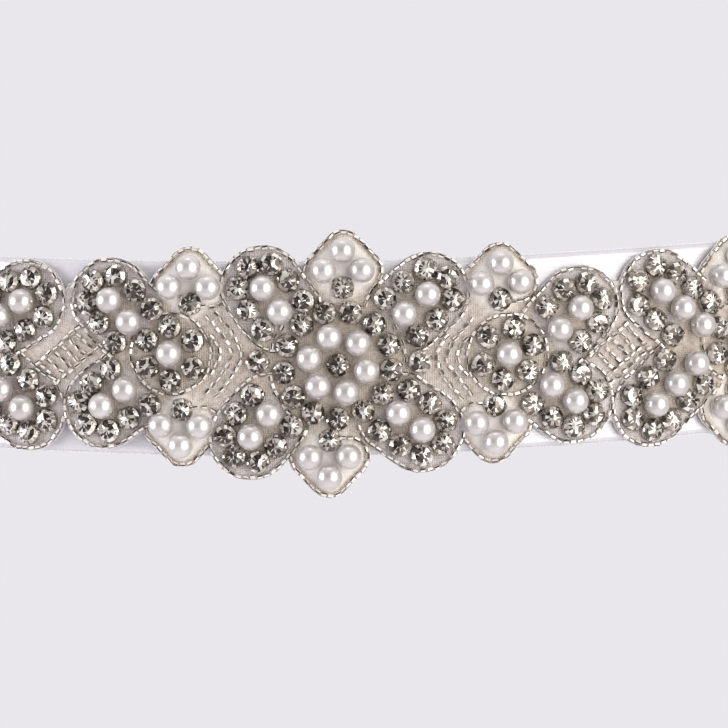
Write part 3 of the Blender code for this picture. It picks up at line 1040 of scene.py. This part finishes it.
def grown(name, source, tree, values):
    # The source with the tree's result made real, as a plain mesh
    modifier = source.modifiers.new("sewing", "NODES")
    modifier.node_group = tree
    sockets = {item.name: item.identifier for item in tree.interface.items_tree if item.in_out == "INPUT"}
    for label, value in values.items():
        modifier[sockets[label]] = value
    graph = bpy.context.evaluated_depsgraph_get()
    mesh = bpy.data.meshes.new_from_object(
        source.evaluated_get(graph), preserve_all_data_layers=True, depsgraph=graph,
    )
    mesh.name = name
    bpy.data.objects.remove(source)
    made = bpy.data.objects.new(name, mesh)
    bpy.context.scene.collection.objects.link(made)
    for extra in ("outward", "tangent"):
        if extra in mesh.attributes:
            mesh.attributes.remove(mesh.attributes[extra])
    print(f"{name}: {sum(len(face.vertices) - 2 for face in mesh.polygons)} triangles")
    return made


def addDirections(mesh, along):
    tangent, outward = clothDirections(along)
    for label, values in (("tangent", tangent), ("outward", outward)):
        attribute = mesh.attributes.new(label, "FLOAT_VECTOR", "POINT")
        attribute.data.foreach_set("vector", values.astype(np.float32).ravel())


def sewAtPoints(name, places, out, values):
    along, up = places[:, 0] * mm, places[:, 1] * mm
    source = makePiece(name + "Points", onWaist(along, up, out), [])
    addDirections(source.data, along)
    return grown(name, source, pointTree, values)


def strungOnRows(name, rows, out, values):
    # rows are lists of flat places in mm; out is a distance or a function of the place
    verts, edges, alongs = [], [], []
    for row in rows:
        row = np.asarray(row)
        start = len(verts)
        off = out(row) if callable(out) else out
        verts.extend(onWaist(row[:, 0] * mm, row[:, 1] * mm, off))
        alongs.extend(row[:, 0] * mm)
        edges.extend((start + i, start + i + 1) for i in range(len(row) - 1))
    source = makePiece(name + "Rows", verts, [], edges=edges)
    addDirections(source.data, np.array(alongs))
    return grown(name, source, rowTree, values)


# Rows of cut beads

rowForm = {
    "step": 0.25,
    "beadClear": 0.64,  # from a row's middle to a pearl's or a stone's side
    "rowClear": 0.95,
    "shortest": 3.6,
    "latticeClear": 0.80,
    "latticeShortest": 1.5,
    "leafInset": 0.50,
    "trioInset": 0.50,
    "flowerGap": 3.2,
    "pitch": 1.60 * mm,
    "loosePitch": 1.78 * mm,  # in the arcs and lattices
    "sink": 0.03 * mm,
    "stray": 0.08,  # how far a hand-sewn row wavers to each side
}


def roundedHull(corners, radius):
    # A closed line at this distance round a convex loop of corners, given counter-clockwise
    points = []
    count = len(corners)
    for index, (x, z) in enumerate(corners):
        if count == 1:
            start, sweep = 0.0, 2 * math.pi
        else:
            before, after = corners[index - 1], corners[(index + 1) % count]
            start = math.atan2(z - before[1], x - before[0]) - math.pi / 2
            end = math.atan2(after[1] - z, after[0] - x) - math.pi / 2
            sweep = (end - start) % (2 * math.pi)
        steps = max(2, math.ceil(sweep * radius / rowForm["step"]))
        for step in range(steps + 1):
            angle = start + sweep * step / steps
            points.append((x + radius * math.cos(angle), z + radius * math.sin(angle)))
    return evenly(points + points[:1])


def evenly(points):
    points = np.array(points, float)
    run = np.concatenate([[0], np.cumsum(np.linalg.norm(np.diff(points, axis=0), axis=1))])
    keep = np.concatenate([[True], np.diff(run) > 1e-9])
    points, run = points[keep], run[keep]
    at = np.linspace(0, run[-1], max(3, math.ceil(run[-1] / rowForm["step"])))
    return np.stack([np.interp(at, run, points[:, axis]) for axis in (0, 1)], axis=1)


def clearParts(path, regions, rowsSoFar, rowClear=rowForm["rowClear"], shortest=rowForm["shortest"]):
    # The stretches of a line that lie clear of pearls, stones, other motifs and other rows
    free = np.ones(len(path), bool)
    for places, radius in ((pearlPlaces, motif["pearlRadius"]), (stonePlaces, motif["stoneRadius"])):
        gap = np.linalg.norm(path[:, None] - places[None], axis=-1).min(axis=1)
        free &= gap > radius + rowForm["beadClear"]
    for corners, radius in regions:
        free &= hullDistance(path, corners) > radius
    if rowsSoFar:
        others = np.concatenate(rowsSoFar)
        gap = np.linalg.norm(path[:, None] - others[None], axis=-1).min(axis=1)
        free &= gap > rowClear
    if free.all():
        return [path]
    if np.allclose(path[0], path[-1]):  # a closed line starts at a stretch that is not free
        first = int(np.argmin(free))
        path, free = np.roll(path[:-1], -first, axis=0), np.roll(free[:-1], -first)
    parts, current = [], []
    for point, isFree in zip(path, free):
        if isFree:
            current.append(point)
        elif current:
            parts.append(np.array(current))
            current = []
    if current:
        parts.append(np.array(current))
    return [part for part in parts if (len(part) - 1) * rowForm["step"] >= shortest]


bracketColumns = ("flower", "way", "reach", "half", "slope", "soft")
bracketTable = (  # bent rows beside the small flowers, facing the centre one
    (1, -1, 11.5, 4.0, 0.90, 2.6),
    (1, -1, 13.9, 8.5, 0.90, 2.6),
    (1, -1, 16.3, 9.5, 0.85, 3.0),
    (2, 1, 11.4, 4.0, 0.90, 2.6),
    (2, 1, 14.0, 8.5, 0.90, 2.6),
    (2, 1, 16.3, 9.5, 0.85, 3.0),
)
latticeColumns = ("along", "up", "slant", "cross")
latticeTable = ((63.8, -2.0, 38, -47), (-62.2, 0.4, 41, -40))
latticeForm = {
    "crossRows": (-6.9, -4.6, -2.3, 0.0, 2.3, 4.6, 6.9),
    "crossHalf": 1.85,
    "borders": (-3.4, 3.2, 5.0),
    "borderHalf": 7.0,
}


def bracketPath(bracket):
    flower = flowers[bracket["flower"]]
    v = np.linspace(-bracket["half"], bracket["half"], 60)
    bend = np.sqrt((bracket["slope"] * v) ** 2 + bracket["soft"] ** 2) - bracket["soft"]
    x = flower["along"] + bracket["way"] * (bracket["reach"] - bend)
    return evenly(np.stack([x, flower["up"] + v], axis=1))


def latticePaths(lattice):
    slant = np.array(turned(lattice["slant"], 1.0, 0.0))
    cross = np.array(turned(lattice["cross"], 1.0, 0.0))
    middle = np.array([lattice["along"], lattice["up"]])
    lines = [(cross * place, slant * latticeForm["borderHalf"]) for place in latticeForm["borders"]]
    lines += [(slant * place, cross * latticeForm["crossHalf"]) for place in latticeForm["crossRows"]]
    return [evenly([middle + at - reach, middle + at + reach]) for at, reach in lines]


def wavered(row, number):
    # A hand-sewn row strays a little to both sides
    run = np.arange(len(row)) * rowForm["step"]
    way = np.gradient(row, axis=0)
    side = np.stack([-way[:, 1], way[:, 0]], axis=1) / np.linalg.norm(way, axis=1, keepdims=True)
    stray = rowForm["stray"] * (np.sin(run / 1.2 + 1.7 * number) + 0.7 * np.sin(run / 2.7 + 2.9 * number))
    return row + side * stray[:, None]


def cutBeadRows():
    leafRegions = [(leafEnds(leaf), motif["leafEdgeRadius"] - rowForm["leafInset"]) for leaf in leaves]
    flowerRegions = [
        ([(flower["along"], flower["up"])], flower["stoneRing"] + rowForm["flowerGap"]) for flower in flowers
    ]
    trioRegions = [(trioCorners(trio), motif["trioEdgeRadius"] - rowForm["trioInset"]) for trio in trios]
    ease = 0.35
    rows = []

    def inside(regions):
        return [(corners, radius - ease) for corners, radius in regions]

    for index, (corners, radius) in enumerate(leafRegions):
        rows += clearParts(roundedHull(corners, radius), inside(leafRegions[:index] + flowerRegions), rows)
    for index, (corners, radius) in enumerate(flowerRegions):
        rows += clearParts(roundedHull(corners, radius), [], rows)
    for corners, radius in trioRegions:
        rows += clearParts(roundedHull(corners, radius), inside(leafRegions + flowerRegions), rows)
    taken = inside(leafRegions + flowerRegions + trioRegions)
    loose = []
    for bracket in named(bracketColumns, bracketTable):
        loose += clearParts(bracketPath(bracket), taken, rows + loose)
    for lattice in named(latticeColumns, latticeTable):
        for path in latticePaths(lattice):
            loose += clearParts(
                path, taken, rows + loose, rowForm["latticeClear"], rowForm["latticeShortest"],
            )
    return [[wavered(row, number) for number, row in enumerate(found)] for found in (rows, loose)]


def insideOutline(path, inset):
    high = np.array([edgeAt(x, 1) for x in path[:, 0]])
    low = np.array([edgeAt(x, -1) for x in path[:, 0]])
    return (path[:, 1] < high - inset) & (path[:, 1] > low + inset)


def faceOver(row):
    # The backing's outer face under a row
    return layers["floor"] + backingForm["puff"] * cellDepth(np.asarray(row))


def buildBeads():
    pieces = {}
    quarterTurn = math.radians(90)
    pieces["pearls"] = sewAtPoints(
        "pearls", pearlPlaces, layers["floor"] + pearlForm["radius"] - 0.15 * mm,
        {"Shapes": shapeSets["pearl"], "Finish": finishes["pearl"], "Size Spread": 0.015,
         "Turn": (0.35, 0.2, math.pi), "Seed": 3},
    )
    stoneTilt = math.radians(7)
    stoneSets = {"Size Spread": 0.03, "Turn": (stoneTilt, stoneTilt, math.pi), "Seed": 11}
    pieces["rhinestones"] = sewAtPoints(
        "rhinestones", stonePlaces, layers["floor"],
        {"Shapes": shapeSets["stone"], "Finish": finishes["stone"], **stoneSets},
    )
    pieces["stoneCups"] = sewAtPoints(
        "stoneCups", stonePlaces, layers["floor"] - 0.02 * mm,
        {"Shapes": shapeSets["cup"], "Finish": finishes["cup"], **stoneSets},
    )
    rows, loose = cutBeadRows()
    beadSets = {"Shapes": shapeSets["cutBead"], "Finish": finishes["cutBead"]}
    beadOut = cutBeadForm["radius"] - rowForm["sink"]
    pieces["cutBeads"] = strungOnRows(
        "cutBeads", rows, lambda row: faceOver(row) + beadOut,
        {**beadSets, "Size Spread": 0.12, "Turn": (0.6, 0.06, 0.16), "Seed": 5, "Pitch": rowForm["pitch"]},
    )
    pieces["looseCutBeads"] = strungOnRows(
        "looseCutBeads", loose, lambda row: faceOver(row) + beadOut,
        {**beadSets, "Size Spread": 0.10, "Turn": (0.55, 0.08, 0.26), "Seed": 8, "Pitch": rowForm["loosePitch"]},
    )
    upper = evenly(columns[:, [0, 2]] + (0, 0.02))
    lower = evenly(columns[:, [0, 1]] - (0, 0.02))
    pieces["edgeThread"] = strungOnRows(
        "edgeThread", [upper, lower], layers["floor"] - 0.30 * mm,
        {"Shapes": shapeSets["stitch"], "Finish": finishes["whiteThread"], "Size Spread": 0.05,
         "Turn": (0.3, 0.03, 0.05), "Seed": 9, "Pitch": 2.2 * mm},
    )
    return pieces


beadPieces = buildBeads()


# Sewing: the selvedge's loops, the hem's stitches, and the running stitches that hold the trim, seen from inside


def ribbonLine(up, out, start=None, end=None):
    half = (waistLength + ribbonForm["lap"]) / 2 / mm
    along = np.linspace(-half if start is None else start, half if end is None else end, 700)
    return np.stack([along, np.full_like(along, up)], axis=1)


def ribbonFace(row):
    along, up = np.asarray(row)[:, 0] * mm, np.asarray(row)[:, 1] * mm
    return ribbonForm["face"] + lapLift(along) + satinRelief(along, np.clip(up, -ribbonForm["width"] / 2, ribbonForm["width"] / 2))


def buildSewing():
    pieces = {}
    edge = ribbonForm["width"] / 2 / mm - 0.12
    top, bottom = ribbonLine(edge, 0), ribbonLine(-edge, 0)[::-1]
    pieces["selvedge"] = strungOnRows(
        "ribbonSelvedge", [top, bottom], lambda row: ribbonFace(row) - ribbonForm["thickness"] / 2,
        {"Shapes": shapeSets["loop"], "Finish": finishes["whiteThread"], "Size Spread": 0.1,
         "Turn": (0.1, 0.1, 0.06), "Seed": 2, "Pitch": 0.9 * mm},
    )
    hemAt = (waistLength + ribbonForm["lap"]) / 2 / mm - ribbonForm["hem"] / mm
    ups = np.linspace(-20.5, 20.5, 60)
    hemLine = np.stack([np.full_like(ups, hemAt), ups], axis=1)
    pieces["hem"] = strungOnRows(
        "hemStitches", [hemLine], lambda row: ribbonFace(row) + 0.05 * mm,
        {"Shapes": shapeSets["stitch"], "Finish": finishes["whiteThread"], "Size Spread": 0.05,
         "Turn": (0.05, 0.02, 0.05), "Seed": 4, "Pitch": 3.0 * mm},
    )
    swing = np.linspace(0, 2 * math.pi, 900)
    oval = np.stack([118 * np.sign(np.cos(swing)) * np.abs(np.cos(swing)) ** 0.3,
                     17.5 * np.sign(np.sin(swing)) * np.abs(np.sin(swing)) ** 0.3], axis=1)
    pieces["tacking"] = strungOnRows(
        "tackingStitches", [evenly(oval)],
        lambda row: ribbonFace(row) - ribbonForm["thickness"] - 0.06 * mm,
        {"Shapes": shapeSets["stitch"], "Finish": finishes["beigeThread"], "Size Spread": 0.2,
         "Turn": (0.1, 0.02, 0.12), "Seed": 6, "Pitch": 4.2 * mm},
    )
    return pieces


sewing = buildSewing()
print("beads and sewing made")


# What each piece rides on and stands for

for piece in (ribbonPiece, backingPiece, *beadPieces.values(), *sewing.values()):
    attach(piece, "root")
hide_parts("ribbon")
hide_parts("applique")


# Studio

studio = {
    "backdrop": "#F0EEF1",
    "camera": (6.0 * mm, -1.1945, -1.3 * mm),
    "frameWidth": 168.1 * mm,  # of the sash's front that the photograph shows
    "frontPlane": -94.5 * mm,
    "floorHeight": -1.05,  # the sash hangs at waist height
    "floorRadius": 7.0,
    "seen": 0.90,  # brightness of the backdrop
    "worldBack": 0.75,  # light from it
    "worldFront": 0.21,  # light from the camera's side
    "worldAbove": 0.70,  # added overhead
}
softboxColumns = ("azimuth", "elevation", "distance", "width", "height", "power", "colour")
softboxTable = (  # seen from the sash, azimuth 0 is the camera's side and + is to the right
    (-77, 3, 1.0, 0.86, 0.78, 7.7, "#F8F6FC"),
    (43, 3, 1.0, 1.26, 1.54, 10.9, "#FFFAF4"),
    (-20, 82, 1.2, 0.80, 0.14, 0.7, "#FFFFFF"),
)


def addSoftbox(box):
    light = bpy.data.lights.new("softbox", "AREA")
    light.shape = "ELLIPSE"
    light.size, light.size_y = box["width"], box["height"]
    light.energy = box["power"]
    light.color = linearColour(box["colour"])[:3]
    made = bpy.data.objects.new("softbox", light)
    bpy.context.scene.collection.objects.link(made)
    azimuth, elevation = math.radians(box["azimuth"]), math.radians(box["elevation"])
    away = np.array([
        math.sin(azimuth) * math.cos(elevation), -math.cos(azimuth) * math.cos(elevation), math.sin(elevation),
    ])
    made.location = away * box["distance"] + np.array([0, studio["frontPlane"], 0])
    made.rotation_euler = (math.pi / 2 - elevation, 0, azimuth)
    made.visible_camera = False


def buildStudio():
    verts = lathe([(studio["floorRadius"], studio["floorHeight"])], 96, ends="open")[0]
    floorFinish, _, shader = newMaterial("paleStudioPaper", Roughness=0.9)
    shader.inputs["Base Color"].default_value = linearColour(studio["backdrop"])
    floor = makePiece("floor", verts, [tuple(range(len(verts)))], floorFinish, smooth=False)
    for box in named(softboxColumns, softboxTable):
        addSoftbox(box)
    world = bpy.data.worlds.new("studio")
    bpy.context.scene.world = world
    world.use_nodes = True
    tree = world.node_tree
    direction = addNode(tree, "ShaderNodeTexCoord").outputs["Generated"]
    parts = addNode(tree, "ShaderNodeSeparateXYZ", links={"Vector": direction}).outputs
    strength = addNode(tree, "ShaderNodeMapRange", links={"Value": parts["Y"]})
    strength.inputs["From Min"].default_value = -0.9
    strength.inputs["From Max"].default_value = 0.9
    strength.inputs["To Min"].default_value = studio["worldFront"]
    strength.inputs["To Max"].default_value = studio["worldBack"]
    square = addNode(tree, "ShaderNodeMath", {"operation": "MULTIPLY"}, {0: parts["Z"], 1: parts["Z"]})
    total = addNode(tree, "ShaderNodeMath", {"operation": "MULTIPLY_ADD"}, {0: square.outputs[0]})
    total.inputs[1].default_value = studio["worldAbove"]
    tree.links.new(strength.outputs["Result"], total.inputs[2])
    seen = addNode(tree, "ShaderNodeLightPath").outputs["Is Camera Ray"]
    level = addNode(tree, "ShaderNodeMix", {"data_type": "FLOAT"}, {"Factor": seen, "A": total.outputs[0]})
    socketOf(level.inputs, "B").default_value = studio["seen"]
    background = tree.nodes["Background"]
    background.inputs["Color"].default_value = linearColour("#F4F2F6")
    tree.links.new(socketOf(level.outputs, "Result"), background.inputs["Strength"])
    lens = bpy.data.cameras.new("camera")
    lens.sensor_width = 36.0
    lens.lens = 36.0 * (studio["frontPlane"] - studio["camera"][1]) / studio["frameWidth"]
    lens.clip_start = 0.05
    camera = bpy.data.objects.new("camera", lens)
    bpy.context.scene.collection.objects.link(camera)
    camera.location = studio["camera"]
    camera.rotation_euler = (math.pi / 2, 0, 0)
    bpy.context.scene.camera = camera
    bpy.context.scene.view_settings.view_transform = "Standard"


buildStudio()
print("studio made")
